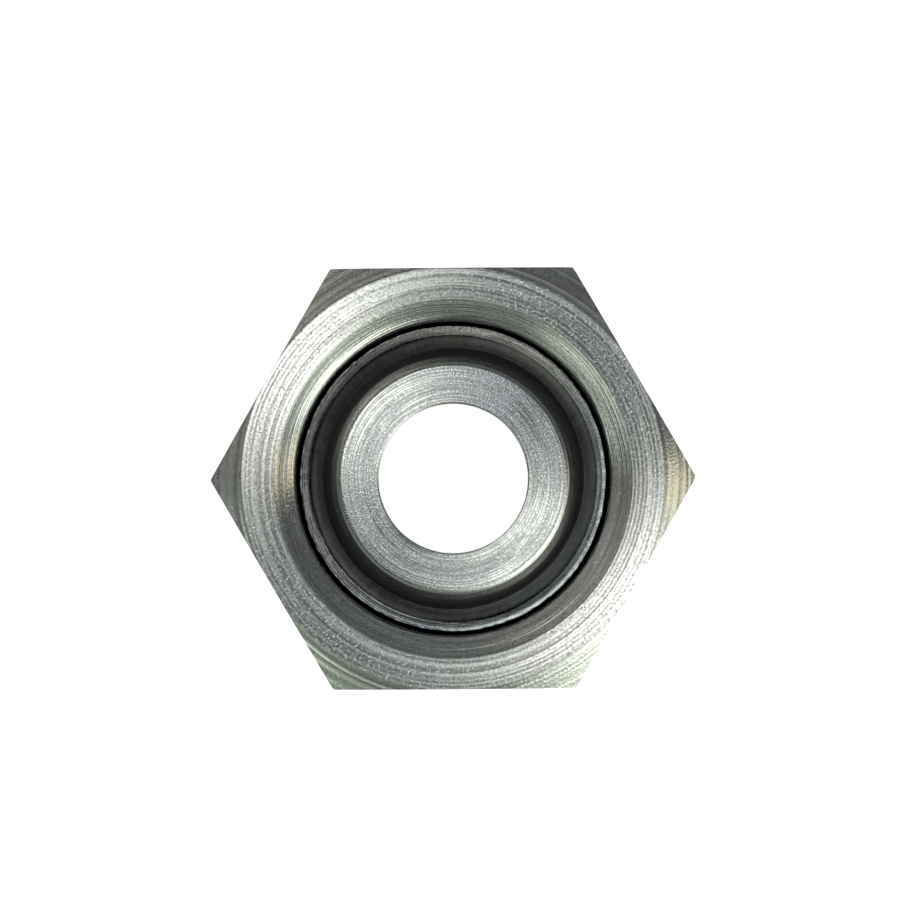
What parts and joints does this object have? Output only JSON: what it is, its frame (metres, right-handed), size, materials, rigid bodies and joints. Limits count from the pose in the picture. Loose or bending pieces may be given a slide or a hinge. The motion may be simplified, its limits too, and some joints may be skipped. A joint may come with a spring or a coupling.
{
  "type": "hydraulic hose fitting",
  "caption": "Straight hydraulic hose fitting with a swivelling hexagonal union nut, a cone nose with an O-ring, and a barbed hose tail.",
  "frame": {"origin": "centre of the stem's flat end face at the hose tail, on the surface that it stands on", "axes": "+Z along the fitting's axis from the hose tail to the nose; +X to a corner of the hexagon; +Y square to a flat"},
  "size_m": [0.0254, 0.022, 0.049],
  "materials": {
    "stem_steel": "bright zinc plate over turned steel",
    "nut_steel": "bright zinc plate over turned and drawn steel",
    "seal_rubber": "black nitrile rubber, satin"
  },
  "bodies": {
    "stem": {"hose_stem": "stem_steel", "o_ring": "seal_rubber"},
    "nut": {"union_nut": "nut_steel"}
  },
  "joints": [
    {"name": "nut_swivel", "type": "hinge", "parent": "stem", "child": "nut", "pos_m": [0, 0, 0.0418], "axis": [0, 0, 1], "continuous": true}
  ]
}
